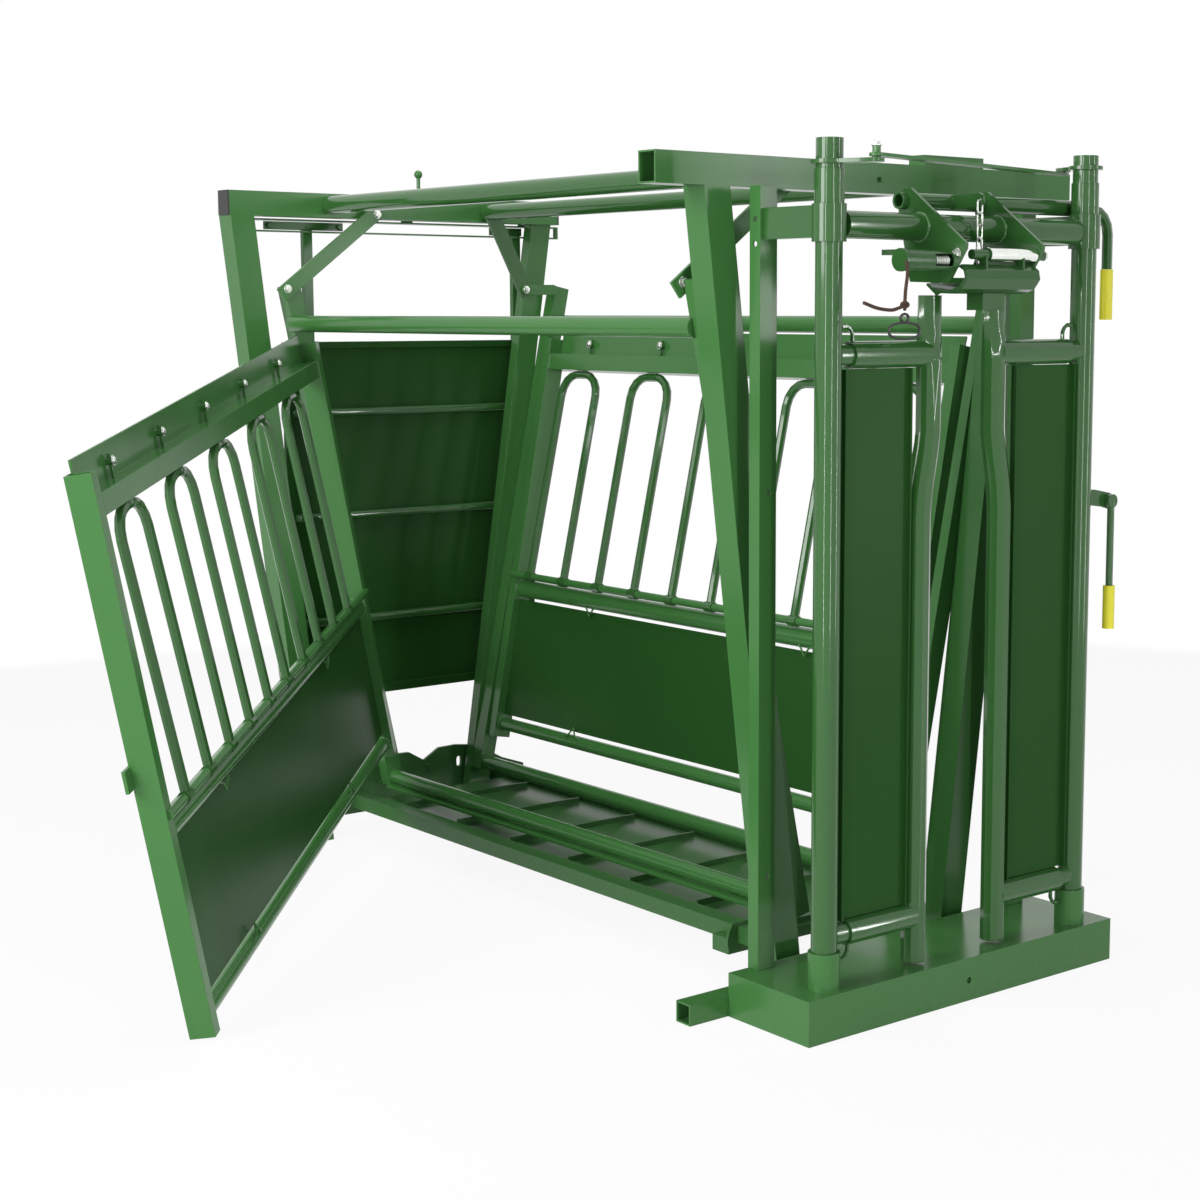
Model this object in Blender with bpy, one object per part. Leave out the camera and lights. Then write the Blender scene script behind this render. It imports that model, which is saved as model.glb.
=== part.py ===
# Self-catch cattle crush: headgate, two leaning side frames with side gates,
# drop bars, a squeeze shaft and a sliding tail gate.
# Lengths in the functions are millimetres; the objects come out in metres.
import bpy
import bmesh
import math
from mathutils import Matrix, Vector

MM = 0.001
GAP = 0.3

# Headgate base and posts
BASE_HALF = 509.0
BASE_DEPTH = 275.0
BASE_TOP = 104.0
POST_X = 415.0
POST_Y = 55.0
POST_R = 30.15
POST_TOP = 1976.0
HEADER_Z = 1795.0

# Hoops
BEAM_HALF = 674.0
REAR_FAR_END = 480.0
BEAM_LOW = 1885.0
BEAM_TOP = 1956.0
FRONT_Y = 327.0
REAR_Y = 2305.0
BEAM_DEPTH = 60.0
LEG_DEPTH = 74.0
LEG_WIDE = 74.5
WALL = 4.0

# Leaning sides: pivot line and lean of the side frames and of the side gates
PIVOT_X = 170.0
PIVOT_Z = 170.0
FRAME_LEAN = math.radians(11.8)
GATE_LEAN = math.radians(10.73)
GATE_HINGE_X = 186.0
GATE_HINGE_Y = 2285.0
FAR_LENGTH = 1830.0
NEAR_LENGTH = 1905.0
GATE_AXIS_OUT = 30.0
GATE_AXIS_Y = 2288.0
NEAR_OPEN = math.radians(44.1)
POST_FRONT = (403.0, 433.0)
POST_REAR = (2290.0, 2338.0)

# Drop bars of a side gate: first leg from the hinge, leg spacing, foot rod and arch
FAR_BARS = (108.0, 179.0)
NEAR_BARS = (236.0, 170.3)
BAR_R = 12.7
ROD_W = -30.0
ROD_S = 609.0
ROD_R = 11.5
BAR_TOP_W = -8.0
BAR_TOP = 1262.0

# Squeeze shaft over the far side, its cranks and the two bolts of each link
SHAFT_X = 205.0
SHAFT_Z = 1916.0
CRANK_PIN = (329.0, 1678.0)
FAR_EAR = (434.0, 1678.0)
NEAR_EAR = (-514.0, 1667.0)

# Headgate halves
NECK_TOP_X = 106.0
NECK_LOW_X = 134.0
NECK_R = 29.0
UPPER_BAR_Z = 1515.0
LOWER_BAR_Z = 222.0

# Latch
SHAFT_Y = 108.0
RELEASE_Z = 1855.0
ROLLER_Y = -65.0
ROLLER_Z = 1734.0
PLUNGER_Z = 1719.0
CHAIN_X = 2.0
CHAIN_Y = 8.0
CHAIN_TOP = 1858.0
LEVER_X = 564.0
CHAIN_LOW = 1714.0
CHEEK_LEFT = -137.0
CHEEK_RIGHT = 112.0

# Rope, ring and spring
ROPE_R = 4.0
SPRING_TURNS = 9
SPRING_WIRE = 1.6
SPRING_RADIUS = 14.0

PARTS = bpy.data.collections.new("cattle_crush")
bpy.context.scene.collection.children.link(PARTS)


def clear_scene():
    for old in list(bpy.data.objects):
        bpy.data.objects.remove(old, do_unlink=True)


def material(name, colour, rough, metal):
    made = bpy.data.materials.new(name)
    made.use_nodes = True
    shader = made.node_tree.nodes["Principled BSDF"]
    shader.inputs["Base Color"].default_value = (*colour, 1.0)
    shader.inputs["Roughness"].default_value = rough
    shader.inputs["Metallic"].default_value = metal
    return made


GREEN = (0.055, 0.22, 0.06)
FINISH = {
    "paint": (GREEN, 0.32, 0.0),
    "paint_dark": ((0.04, 0.17, 0.045), 0.4, 0.0),
    "zinc": ((0.6, 0.62, 0.6), 0.35, 1.0),
    "yellow": ((0.86, 0.83, 0.05), 0.45, 0.0),
    "black": ((0.015, 0.016, 0.015), 0.5, 0.0),
    "rope": ((0.05, 0.03, 0.02), 0.9, 0.0),
}


def from_bmesh(bm, matrix=None):
    """A mesh from a bmesh in millimetres, turned by an optional matrix."""
    if matrix is not None:
        bm.transform(matrix)
        if matrix.determinant() < 0:
            bmesh.ops.reverse_faces(bm, faces=bm.faces)
    mesh = bpy.data.meshes.new("piece")
    bm.to_mesh(mesh)
    bm.free()
    return mesh


def block(lo, hi, matrix=None):
    bm = bmesh.new()
    bmesh.ops.create_cube(bm, size=1.0)
    size = [b - a for a, b in zip(lo, hi)]
    mid = [(a + b) / 2 for a, b in zip(lo, hi)]
    bm.transform(Matrix.Translation(mid) @ Matrix.Diagonal((*size, 1.0)))
    return from_bmesh(bm, matrix)


def round_bar(start, end, radius, sides=16, matrix=None, end_radius=None):
    """A cylinder or cone between two points."""
    a = Vector(start)
    b = Vector(end)
    bm = bmesh.new()
    bmesh.ops.create_cone(
        bm, cap_ends=True, cap_tris=False, segments=sides,
        radius1=radius, radius2=radius if end_radius is None else end_radius,
        depth=(b - a).length)
    turn = (b - a).to_track_quat("Z", "Y").to_matrix().to_4x4()
    bm.transform(Matrix.Translation((a + b) / 2) @ turn)
    return from_bmesh(bm, matrix)


def ball(centre, radius, matrix=None):
    bm = bmesh.new()
    bmesh.ops.create_uvsphere(bm, u_segments=16, v_segments=10, radius=radius)
    bm.transform(Matrix.Translation(centre))
    return from_bmesh(bm, matrix)


def mesh_of(obj):
    """The evaluated mesh of a temporary object, which is then removed."""
    graph = bpy.context.evaluated_depsgraph_get()
    mesh = bpy.data.meshes.new_from_object(obj.evaluated_get(graph))
    data = obj.data
    bpy.data.objects.remove(obj, do_unlink=True)
    if isinstance(data, bpy.types.Mesh):
        bpy.data.meshes.remove(data)
    else:
        bpy.data.curves.remove(data)
    return mesh


def bent_bar(points, radius, resolution=2, matrix=None, closed=False):
    """A round bar along a line of points, from a bevelled curve."""
    curve = bpy.data.curves.new("bar", "CURVE")
    curve.dimensions = "3D"
    curve.bevel_depth = radius
    curve.bevel_resolution = resolution
    curve.use_fill_caps = True
    curve.render_resolution_u = 0
    line = curve.splines.new("POLY")
    line.points.add(len(points) - 1)
    for spot, place in zip(line.points, points):
        spot.co = (*place, 1.0)
    line.use_cyclic_u = closed
    obj = bpy.data.objects.new("bar", curve)
    bpy.context.scene.collection.objects.link(obj)
    mesh = mesh_of(obj)
    bm = bmesh.new()
    bm.from_mesh(mesh)
    bpy.data.meshes.remove(mesh)
    bmesh.ops.remove_doubles(bm, verts=bm.verts, dist=0.001)
    return from_bmesh(bm, matrix)


def plate(outline, thick, matrix, holes=()):
    """A flat plate: a filled outline with its holes, half the thickness to each side."""
    curve = bpy.data.curves.new("plate", "CURVE")
    curve.dimensions = "2D"
    curve.fill_mode = "BOTH"
    curve.extrude = thick / 2
    curve.render_resolution_u = 0
    for loop in [outline] + list(holes):
        line = curve.splines.new("POLY")
        line.points.add(len(loop) - 1)
        for spot, place in zip(line.points, loop):
            spot.co = (place[0], place[1], 0.0, 1.0)
        line.use_cyclic_u = True
    obj = bpy.data.objects.new("plate", curve)
    bpy.context.scene.collection.objects.link(obj)
    mesh = mesh_of(obj)
    bm = bmesh.new()
    bm.from_mesh(mesh)
    bpy.data.meshes.remove(mesh)
    bmesh.ops.remove_doubles(bm, verts=bm.verts, dist=0.001)
    bmesh.ops.recalc_face_normals(bm, faces=bm.faces)
    return from_bmesh(bm, matrix)


def circle(x, y, radius, sides=12):
    return [(x + radius * math.cos(2 * math.pi * k / sides),
             y + radius * math.sin(2 * math.pi * k / sides)) for k in range(sides)]


def arc(x, y, radius, start, end, steps):
    """Points on an arc, angles in degrees."""
    spots = []
    for k in range(steps + 1):
        a = math.radians(start + (end - start) * k / steps)
        spots.append((x + radius * math.cos(a), y + radius * math.sin(a)))
    return spots


def boolean(kind, first, second):
    """One mesh cut from or joined to another by an exact Boolean."""
    a = bpy.data.objects.new("first", first)
    b = bpy.data.objects.new("second", second)
    bpy.context.scene.collection.objects.link(a)
    bpy.context.scene.collection.objects.link(b)
    step = a.modifiers.new("step", "BOOLEAN")
    step.operation = kind
    step.solver = "EXACT"
    step.object = b
    bpy.context.view_layer.update()
    mesh = mesh_of(a)
    bpy.data.objects.remove(b, do_unlink=True)
    return mesh


def cut(body, *tools):
    for tool in tools:
        body = boolean("DIFFERENCE", body, tool)
    return body


def fuse(body, *more):
    for piece in more:
        body = boolean("UNION", body, piece)
    return body


def node(name, finish, pieces, axis=None, smooth=True):
    """A named object from its solid, in metres, with y counted from the base's middle."""
    bm = bmesh.new()
    for piece in pieces:
        bm.from_mesh(piece)
    shift = Vector((0, -BASE_DEPTH / 2, 0))
    bm.transform(Matrix.Scale(MM, 4) @ Matrix.Translation(shift))
    origin = (Vector(axis) + shift) * MM if axis is not None else Vector((0, 0, 0))
    bm.transform(Matrix.Translation(-origin))
    bmesh.ops.dissolve_limit(bm, angle_limit=math.radians(0.2), verts=bm.verts, edges=bm.edges)
    bmesh.ops.triangulate(bm, faces=bm.faces)
    mesh = bpy.data.meshes.new(name)
    bm.to_mesh(mesh)
    bm.free()
    colour, rough, metal = FINISH[finish]
    mesh.materials.clear()
    mesh.materials.append(material(name, colour, rough, metal))
    obj = bpy.data.objects.new(name, mesh)
    obj.location = origin
    PARTS.objects.link(obj)
    for face in mesh.polygons:
        face.material_index = 0
    if smooth:
        mesh.shade_smooth()
        mesh.set_sharp_from_angle(angle=math.radians(35))
    return obj


def side_matrix(sign, hinge_x, lean):
    """Axes of a leaning side: outwards, along the crush, up the slope."""
    out = Vector((sign * math.cos(lean), 0, -math.sin(lean)))
    up = Vector((sign * math.sin(lean), 0, math.cos(lean)))
    turn = Matrix((out, Vector((0, 1, 0)), up)).transposed().to_4x4()
    return Matrix.Translation((sign * hinge_x, 0, PIVOT_Z)) @ turn


def open_matrix(sign, angle):
    """The side gate's axes, swung open about its hinge line by an angle."""
    base = side_matrix(sign, GATE_HINGE_X, GATE_LEAN)
    hinge = Matrix.Translation((GATE_AXIS_OUT, GATE_AXIS_Y, 0))
    swing = Matrix.Rotation(angle, 4, "Z")
    return base @ hinge @ swing @ hinge.inverted()


def on_plane(x=None, y=None, z=None):
    """A plate's matrix: its outline lies in the plane across the given axis."""
    if x is not None:
        return Matrix.Translation((x, 0, 0)) @ Matrix(
            ((0, 0, 1, 0), (1, 0, 0, 0), (0, 1, 0, 0), (0, 0, 0, 1)))
    if y is not None:
        return Matrix.Translation((0, y, 0)) @ Matrix(
            ((1, 0, 0, 0), (0, 0, -1, 0), (0, 1, 0, 0), (0, 0, 0, 1)))
    return Matrix.Translation((0, 0, z))


def mirrored(outline):
    return [(-x, y) for x, y in reversed(outline)]


def build_base():
    body = block((-BASE_HALF, 0, 0), (BASE_HALF, BASE_DEPTH, BASE_TOP))
    hole = round_bar((0, -5, 49), (0, 9, 49), 8, 12)
    body = cut(body, hole)
    for side in (-1, 1):
        socket = round_bar((side * POST_X, POST_Y, BASE_TOP - 8), (side * POST_X, POST_Y, 189), 37, 20)
        bore = round_bar((side * POST_X, POST_Y, BASE_TOP + 1), (side * POST_X, POST_Y, 200), 31, 20)
        body = cut(fuse(body, socket), bore)
    node("base_box", "paint", [body])
    stub = block((-622, 276, 0), (622, 326, 50))
    pocket = [block((s * 622 - 60, 276 + WALL, WALL), (s * 622 + 60, 326 - WALL, 50 - WALL)) for s in (-1, 1)]
    node("stub_tube", "paint", [cut(stub, *pocket)])


def channel(side):
    body = block((-450, 240, BASE_TOP + GAP), (-400, 275, 1884))
    groove = block((-450 + WALL, 240 + WALL, 60), (-400 - WALL, 300, 1950))
    holes = [round_bar((-422, 230, z), (-422, 250, z), 6, 10) for z in (1206, 322)]
    holes += [round_bar((-460, 257, z), (-440, 257, z), 7, 10) for z in (1811, 1757)]
    body = cut(body, groove, *holes)
    return body if side < 0 else flip(body)


def flip(mesh):
    """A mesh mirrored across the crush's middle."""
    bm = bmesh.new()
    bm.from_mesh(mesh)
    bpy.data.meshes.remove(mesh)
    return from_bmesh(bm, Matrix.Scale(-1, 4, (1, 0, 0)))


def sleeve():
    """The fixed sleeve round the left post with its bracket back to the channel."""
    body = round_bar((-POST_X, POST_Y, 1757), (-POST_X, POST_Y, 1838), 38, 20)
    bracket = block((-440, POST_Y + 20, 1766), (-404, 240 - GAP, 1835))
    bore = round_bar((-POST_X, POST_Y, 1700), (-POST_X, POST_Y, 1900), 31, 20)
    return cut(fuse(body, bracket), bore)


CHEEK = [(122, 1832), (128, 1852), (122, 1872), (105, 1882), (85, 1882),
         (-87, 1757), (-86, 1745), (-34, 1671), (84, 1675)]


def build_header():
    body = fuse(sleeve(), round_bar((37 - POST_X, POST_Y, HEADER_Z), (POST_X - 37, POST_Y, HEADER_Z), 30, 20),
                flip(sleeve()))
    for x in (CHEEK_LEFT, CHEEK_RIGHT):
        holes = [circle(SHAFT_Y, RELEASE_Z, 19.6, 16), circle(ROLLER_Y + 4, ROLLER_Z, 11.5, 12)]
        body = fuse(body, plate(CHEEK, 8, on_plane(x=x), holes))
    node("header_frame", "paint", [body])


def hoop_leg(side, y0, y1, low, high, top_z, foot):
    """A leaning leg: low and high are the outer edge at the floor and at the beam."""
    rise = (high - low) / top_z
    top = top_z + 12
    outline = [(-low, foot), (-low - rise * top, top), (-low - rise * top + LEG_WIDE, top), (-low + LEG_WIDE, foot)]
    body = plate(outline, y1 - y0, on_plane(y=(y0 + y1) / 2))
    return body if side < 0 else flip(body)


def hollow_beam(y0):
    body = block((-BEAM_HALF, y0, BEAM_LOW), (BEAM_HALF, y0 + BEAM_DEPTH, BEAM_TOP))
    for side in (-1, 1):
        end = side * BEAM_HALF
        inner = block((min(end, end - side * 70) - 5 * (side < 0), y0 + WALL, BEAM_LOW + WALL),
                      (max(end, end - side * 70) + 5 * (side > 0), y0 + BEAM_DEPTH - WALL, BEAM_TOP - WALL))
        body = cut(body, inner)
    return body


def build_hoops():
    front = hollow_beam(FRONT_Y)
    slot = block((-10, FRONT_Y - 5, 1911), (4, FRONT_Y + 8, 1922))
    legs = [hoop_leg(s, FRONT_Y, FRONT_Y + LEG_DEPTH, 306, 537, BEAM_LOW, 0) for s in (-1, 1)]
    dish = block((150, FRONT_Y + 4, BEAM_TOP - 2), (356, FRONT_Y + BEAM_DEPTH - 4, 1982))
    node("front_hoop", "paint", [cut(fuse(front, dish, *legs), slot)])
    rear = block((-BEAM_HALF, REAR_Y, BEAM_LOW), (REAR_FAR_END, REAR_Y + BEAM_DEPTH, BEAM_TOP))
    stem = round_bar((-20, REAR_Y + 32, BEAM_TOP - 4), (-20, REAR_Y + 32, 2018), 6, 10)
    knob = ball((-20, REAR_Y + 32, 2026), 13)
    legs = [hoop_leg(-1, REAR_Y, REAR_Y + LEG_DEPTH, 458, 671, BEAM_LOW, 0),
            hoop_leg(1, REAR_Y + 35, REAR_Y + LEG_DEPTH, 196, REAR_FAR_END - 3, BEAM_LOW, 0)]
    node("rear_hoop", "paint", [fuse(rear, stem, knob, *legs)])
    for side in (-1, 1):
        x = -BEAM_HALF - GAP if side < 0 else REAR_FAR_END + GAP
        lo = (min(x, x + side * 5), REAR_Y, BEAM_LOW)
        hi = (max(x, x + side * 5), REAR_Y + BEAM_DEPTH, BEAM_TOP)
        node("near_tube_cap" if side < 0 else "far_tube_cap", "black", [block(lo, hi)])
    node("top_tube", "paint", [round_bar((-352, FRONT_Y + BEAM_DEPTH + GAP, 1922),
                                         (-352, REAR_Y - GAP, 1922), 26, 20)])


FRONT_EAR = [(-334, 96), (-333, 78), (-326, 66), (-316, 63), (-256, 63), (-256, 136), (-318, 136), (-329, 118)]
REAR_PLATE = [(0, 181), (56, 214), (120, 216), (198, 206), (300, 150), (384, 120),
              (384, 46), (0, 46)]


def build_floor():
    rails = [block((s * 275 - 25, 402 + GAP, 84), (s * 275 + 25, 2397, 126)) for s in (-1, 1)]
    front = block((-330, 493 - 6, 60), (330, 548, 100 - GAP))
    ear = plate(FRONT_EAR, 8, on_plane(y=489))
    other = plate(mirrored(FRONT_EAR), 8, on_plane(y=489))
    full = REAR_PLATE + [(-x, z) for x, z in reversed(REAR_PLATE[1:-1])]
    slots = []
    for side in (-1, 1):
        slot = arc(side * 131, 168, 9, 0, 180, 6) + arc(side * 131, 152, 9, 180, 360, 6)
        slots.append(slot)
    rear = plate(full, 10, on_plane(y=2400), slots)
    pins = [round_bar((x, 2386, z), (x, 2397, z), 8, 8) for x, z in ((15, 161), (-163, 132), (163, 132))]
    node("floor_frame", "paint", [fuse(front, ear, other, *rails, rear, *pins)])
    sheet = block((-249.6, 440, 100), (249.6, 2304, 106))
    for k in range(7):
        y = 2140 - 280 * k
        foot = block((-222, y - 3, 104), (222, y + 25, 110))
        wall = block((-222, y - 3, 104), (222, y + 1, 122))
        sheet = fuse(sheet, foot, wall)
    node("floor_sheet", "paint", [sheet])


def build_track():
    top = block((-608, 2384, 1877), (537, 2444, 1882))
    low = block((-608, 2384, 1843), (537, 2408, 1848))
    ends = [block((x, 2384, 1845), (x + 8, 2400, 1880)) for x in (-608, 529)]
    ties = []
    for x in (-560, 0, 440):
        ties.append(block((x - 20, 2439, 1878), (x + 20, 2444, 1905)))
        ties.append(block((x - 20, REAR_Y + BEAM_DEPTH + GAP, 1900), (x + 20, 2444, 1905)))
    node("gate_track", "paint", [fuse(top, *ends, low, *ties)])


def side_frame(sign):
    """Uprights, round top tube and pivot tube of a leaning side frame, as one weldment."""
    place = side_matrix(sign, PIVOT_X, FRAME_LEAN)
    posts = []
    for y0, y1 in (POST_FRONT, POST_REAR):
        solid = block((-25, y0, -24), (25, y1, 1548))
        posts.append(solid)
    top = round_bar((20, POST_FRONT[1] - 10, 1438), (20, POST_REAR[0] + 10, 1438), 24.2, 16)
    low = round_bar((0, POST_FRONT[1] - 10, 0), (0, POST_REAR[0] + 10, 0), 21.2, 16)
    strip = block((12, POST_FRONT[1] - 2, -26), (37, POST_REAR[0] + 2, -18))
    body = fuse(posts[0], top, posts[1], low, strip)
    bm = bmesh.new()
    bm.from_mesh(body)
    bpy.data.meshes.remove(body)
    return from_bmesh(bm, place)


def build_near_side():
    node("near_side_frame", "paint", [side_frame(-1)])
    x, z = NEAR_EAR
    for y in (POST_REAR[0] - 8, POST_FRONT[1] + 8):
        run = Vector((-160 - x, 0, 1936 - z)).normalized()
        side = Vector((-run.z, 0, run.x)) * 22
        ends = [Vector((x, 0, z)) - run * 18, Vector((-190, 0, z + (-190 - x) * run.z / run.x))]
        outline = [ends[0] - side, ends[1] - side, ends[1] + side, ends[0] + side]
        name = "near_brace_rear" if y > 1000 else "near_brace_front"
        node(name, "paint", [plate([(p.x, p.z) for p in outline], 8, on_plane(y=y))])


def gate_frame(length):
    """A side gate's frame: uprights, top rail with its flange, middle and bottom tubes, foot rod."""
    y0 = GATE_HINGE_Y - length
    y1 = GATE_HINGE_Y
    free = block((-30, y0, 85), (30, y0 + 35, 1375))
    hinge = block((-30, y1 - 35, 85), (30, y1, 1375))
    mouth = block((-26, y0 + WALL, 1340), (26, y0 + 35 - WALL, 1390))
    rail = block((-25, y0 + 30, 1275), (25, y1 - 30, 1325))
    flange = block((19, y0 + 30, 1320), (25, y1 - 30, 1404))
    middle = round_bar((0, y0 + 30, 568), (0, y1 - 30, 568), 28, 16)
    bottom = round_bar((0, y0 + 30, 129), (0, y1 - 30, 129), 21, 14)
    rod = round_bar((ROD_W, y0 + 12, ROD_S), (ROD_W, y1 - 12, ROD_S), ROD_R, 16)
    tab = block((28, y0 - 31, 681), (36, y0 + 25, 732))
    return cut(fuse(free, rail, hinge, flange, middle, bottom, tab, rod), mouth)


def gate_panel(place, length):
    y0 = GATE_HINGE_Y - length
    return block((-4, y0 + 35.5, 160), (-1, GATE_HINGE_Y - 35.5, 532), place)


def bar_ends(bars, index):
    """The hinge-side and far leg of one bar, along the crush."""
    start = GATE_HINGE_Y - bars[0] - 2 * bars[1] * index
    return start, start - bars[1]


def drop_bar(place, bars, index):
    """One inverted-U bar: two legs, a round-cornered arch and a knuckle round the rod at each foot."""
    ya, yb = bar_ends(bars, index)
    corner = 66

    def lean(y, s):
        return (ROD_W + (BAR_TOP_W - ROD_W) * (s - ROD_S) / (BAR_TOP - ROD_S), y, s)

    points = [lean(ya, ROD_S + 13)]
    for k in range(5):
        a = math.radians(22.5 * k)
        points.append(lean(ya - corner + corner * math.cos(a), BAR_TOP - corner + corner * math.sin(a)))
    for k in range(5):
        a = math.radians(90 + 22.5 * k)
        points.append(lean(yb + corner + corner * math.cos(a), BAR_TOP - corner + corner * math.sin(a)))
    points.append(lean(yb, ROD_S + 13))
    bar = bent_bar(points, BAR_R, 2)
    for y in (ya, yb):
        bar = fuse(bar, round_bar((ROD_W, y - 17, ROD_S), (ROD_W, y + 17, ROD_S), ROD_R + 4, 10))
    for y in (ya, yb):
        bar = cut(bar, round_bar((ROD_W, y - 40, ROD_S), (ROD_W, y + 40, ROD_S), ROD_R + 0.8, 10))
    return placed(bar, place)


def placed(mesh, place):
    bm = bmesh.new()
    bm.from_mesh(mesh)
    bpy.data.meshes.remove(mesh)
    return from_bmesh(bm, place)


def gate_hardware(length, bars):
    """Latch keys along the top flange and the wire clips of the panel."""
    pieces = []
    y0 = GATE_HINGE_Y - length
    for k in range(5):
        ya, yb = bar_ends(bars, k)
        y = (ya + yb) / 2
        pieces.append(round_bar((3, y, 1362), (20, y, 1362), 9, 6))
        pieces.append(block((8, y - 3, 1323), (14, y + 3, 1378)))
    for y, s, turn in ((y0 + 420, 550, -1), (y0 + 1400, 550, -1), (y0 + 420, 141, 1), (y0 + 1400, 141, 1)):
        wire = [(-16, y - 34, s), (-22, y - 16, s + 9 * turn), (-18, y, s + 32 * turn), (-22, y + 16, s + 9 * turn),
                (-16, y + 34, s)]
        pieces.append(bent_bar(wire, 3, 1))
    return pieces


def build_gate(prefix, place, length, bars):
    hinge = place @ Vector((GATE_AXIS_OUT, GATE_AXIS_Y, 0))
    frame = fuse(gate_frame(length), *gate_hardware(length, bars))
    node(prefix + "_gate_frame", "paint", [placed(frame, place)], axis=hinge)
    node(prefix + "_gate_panel", "paint_dark", [gate_panel(place, length)], axis=hinge)
    for k in range(5):
        ya, yb = bar_ends(bars, k)
        foot = place @ Vector((ROD_W, (ya + yb) / 2, ROD_S))
        node(f"{prefix}_drop_bar_{k + 1}", "paint", [drop_bar(place, bars, k)], axis=foot)


def build_far_side():
    node("far_side_frame", "paint", [side_frame(1)], axis=(PIVOT_X, POST_REAR[0], PIVOT_Z))
    shaft = round_bar((SHAFT_X, FRONT_Y + BEAM_DEPTH + GAP, SHAFT_Z), (SHAFT_X, REAR_Y - GAP, SHAFT_Z), 24, 20)
    x, z = CRANK_PIN
    run = Vector((x - SHAFT_X, 0, z - SHAFT_Z)).normalized()
    side = Vector((-run.z, 0, run.x)) * 25
    ends = [Vector((SHAFT_X, 0, SHAFT_Z)) + run * 10, Vector((x, 0, z)) + run * 20]
    outline = [ends[0] - side, ends[1] - side, ends[1] + side, ends[0] + side]
    outline = [(p.x, p.z) for p in outline]
    for y in (POST_REAR[0] - 14, POST_FRONT[1] + 14):
        shaft = fuse(shaft, plate(outline, 8, on_plane(y=y)))
    node("squeeze_shaft", "paint", [shaft], axis=(SHAFT_X, POST_REAR[0], SHAFT_Z))
    links = []
    for y, step in ((POST_REAR[0] - 14, -1), (POST_FRONT[1] + 14, 1)):
        bar = [(CRANK_PIN[0], z - 16), (FAR_EAR[0], z - 16)] + arc(FAR_EAR[0], z, 16, -90, 90, 6)[1:]
        bar += [(CRANK_PIN[0], z + 16)] + arc(CRANK_PIN[0], z, 16, 90, 270, 6)[1:-1]
        links.append(plate(bar, 6, on_plane(y=y + step * 7.5)))
    for name, link in zip(("squeeze_link_rear", "squeeze_link_front"), links):
        node(name, "paint", [link], axis=(CRANK_PIN[0], POST_REAR[0], CRANK_PIN[1]))


def build_tail_gate():
    y = 2430
    panel = block((-450, y, 415), (450, y + 3, 1518))
    frame = []
    for z0, z1 in ((1498, 1518), (1290, 1316), (971, 997), (645, 671), (415, 441)):
        frame.append(block((-450, y - 14, z0), (450, y + 1, z1)))
    frame += [block((s * 440 - 12, y - 14, 415), (s * 440 + 12, y + 1, 1518)) for s in (-1, 1)]
    node("tail_panel", "paint_dark", [fuse(panel, *frame)])
    for name, x0, x1, tube_x in (("near", -510, -245, -365), ("far", 290, 412, 392)):
        wing = block((x0, 2411, 1851), (x1, 2417, 1875))
        tube = block((tube_x - 15, 2412, 1518 + GAP), (tube_x + 15, 2429.7, 1870))
        bolts = [round_bar((x, 2402, 1863), (x, 2414, 1863), 8, 6) for x in (x0 + 15, x1 - 14)]
        node(f"tail_trolley_{name}", "paint", [fuse(wing, tube, *bolts)])
    loop = [(440, 2445, 1228), (520, 2445, 1228), (540, 2445, 1222), (550, 2445, 1205), (550, 2445, 1125),
            (540, 2445, 1106), (520, 2445, 1100), (440, 2445, 1100)]
    node("tail_handle", "black", [bent_bar(loop, 6, 2)])
    node("tail_knob", "black", [round_bar((420, 2401, 1121), (420, 2415.7, 1121), 14, 14)])


def smooth_line(points, steps):
    """Points of a Catmull-Rom curve through the given points."""
    spots = []
    ring = [Vector(p) for p in points]
    ring = [2 * ring[0] - ring[1]] + ring + [2 * ring[-1] - ring[-2]]
    for i in range(1, len(ring) - 2):
        p0, p1, p2, p3 = ring[i - 1:i + 3]
        for k in range(steps):
            t = k / steps
            spots.append(0.5 * ((2 * p1) + (p2 - p0) * t + (2 * p0 - 5 * p1 + 4 * p2 - p3) * t * t
                                + (3 * p1 - p0 - 3 * p2 + p3) * t ** 3))
    spots.append(ring[-2])
    return spots


def neck_tube():
    """The left neck tube: an S from its top down to the wider foot, its top pressed flat."""
    high = [(-NECK_TOP_X, 0, 1645), (-NECK_TOP_X, 0, 1600), (-NECK_TOP_X, 0, 1560), (-NECK_TOP_X, 0, 1500),
            (-NECK_TOP_X, 0, 1420), (-NECK_TOP_X, 0, 1370)]
    bend = smooth_line([(-NECK_TOP_X, 0, 1340), (-NECK_TOP_X - 7, 0, 1290), (-NECK_LOW_X + 6, 0, 1210),
                        (-NECK_LOW_X, 0, 1150)], 3)
    low = [(-NECK_LOW_X, 0, 1100), (-NECK_LOW_X, 0, 113)]
    mesh = bent_bar(high + [tuple(p) for p in bend] + low, NECK_R, 3)
    bm = bmesh.new()
    bm.from_mesh(mesh)
    bpy.data.meshes.remove(mesh)
    for v in bm.verts:
        press = min(max((v.co.z - 1500) / 110, 0), 1)
        v.co.y *= 1 - 0.45 * press
        v.co.x = -NECK_TOP_X + (v.co.x + NECK_TOP_X) * (1 + 0.22 * press) if v.co.z > 1450 else v.co.x
    return from_bmesh(bm, Matrix.Translation((0, POST_Y, 0)))


def ring_arm(pin):
    """The ring clamped on the left post with its ear out to the link's pin."""
    run = Vector((pin[0] + POST_X, pin[1] - POST_Y))
    angle = math.degrees(math.atan2(run.y, run.x))
    outline = arc(-POST_X, POST_Y, 41, angle + 35, angle + 325, 16)
    outline += arc(pin[0], pin[1], 17, angle - 90, angle + 90, 6)
    return outline


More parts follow.
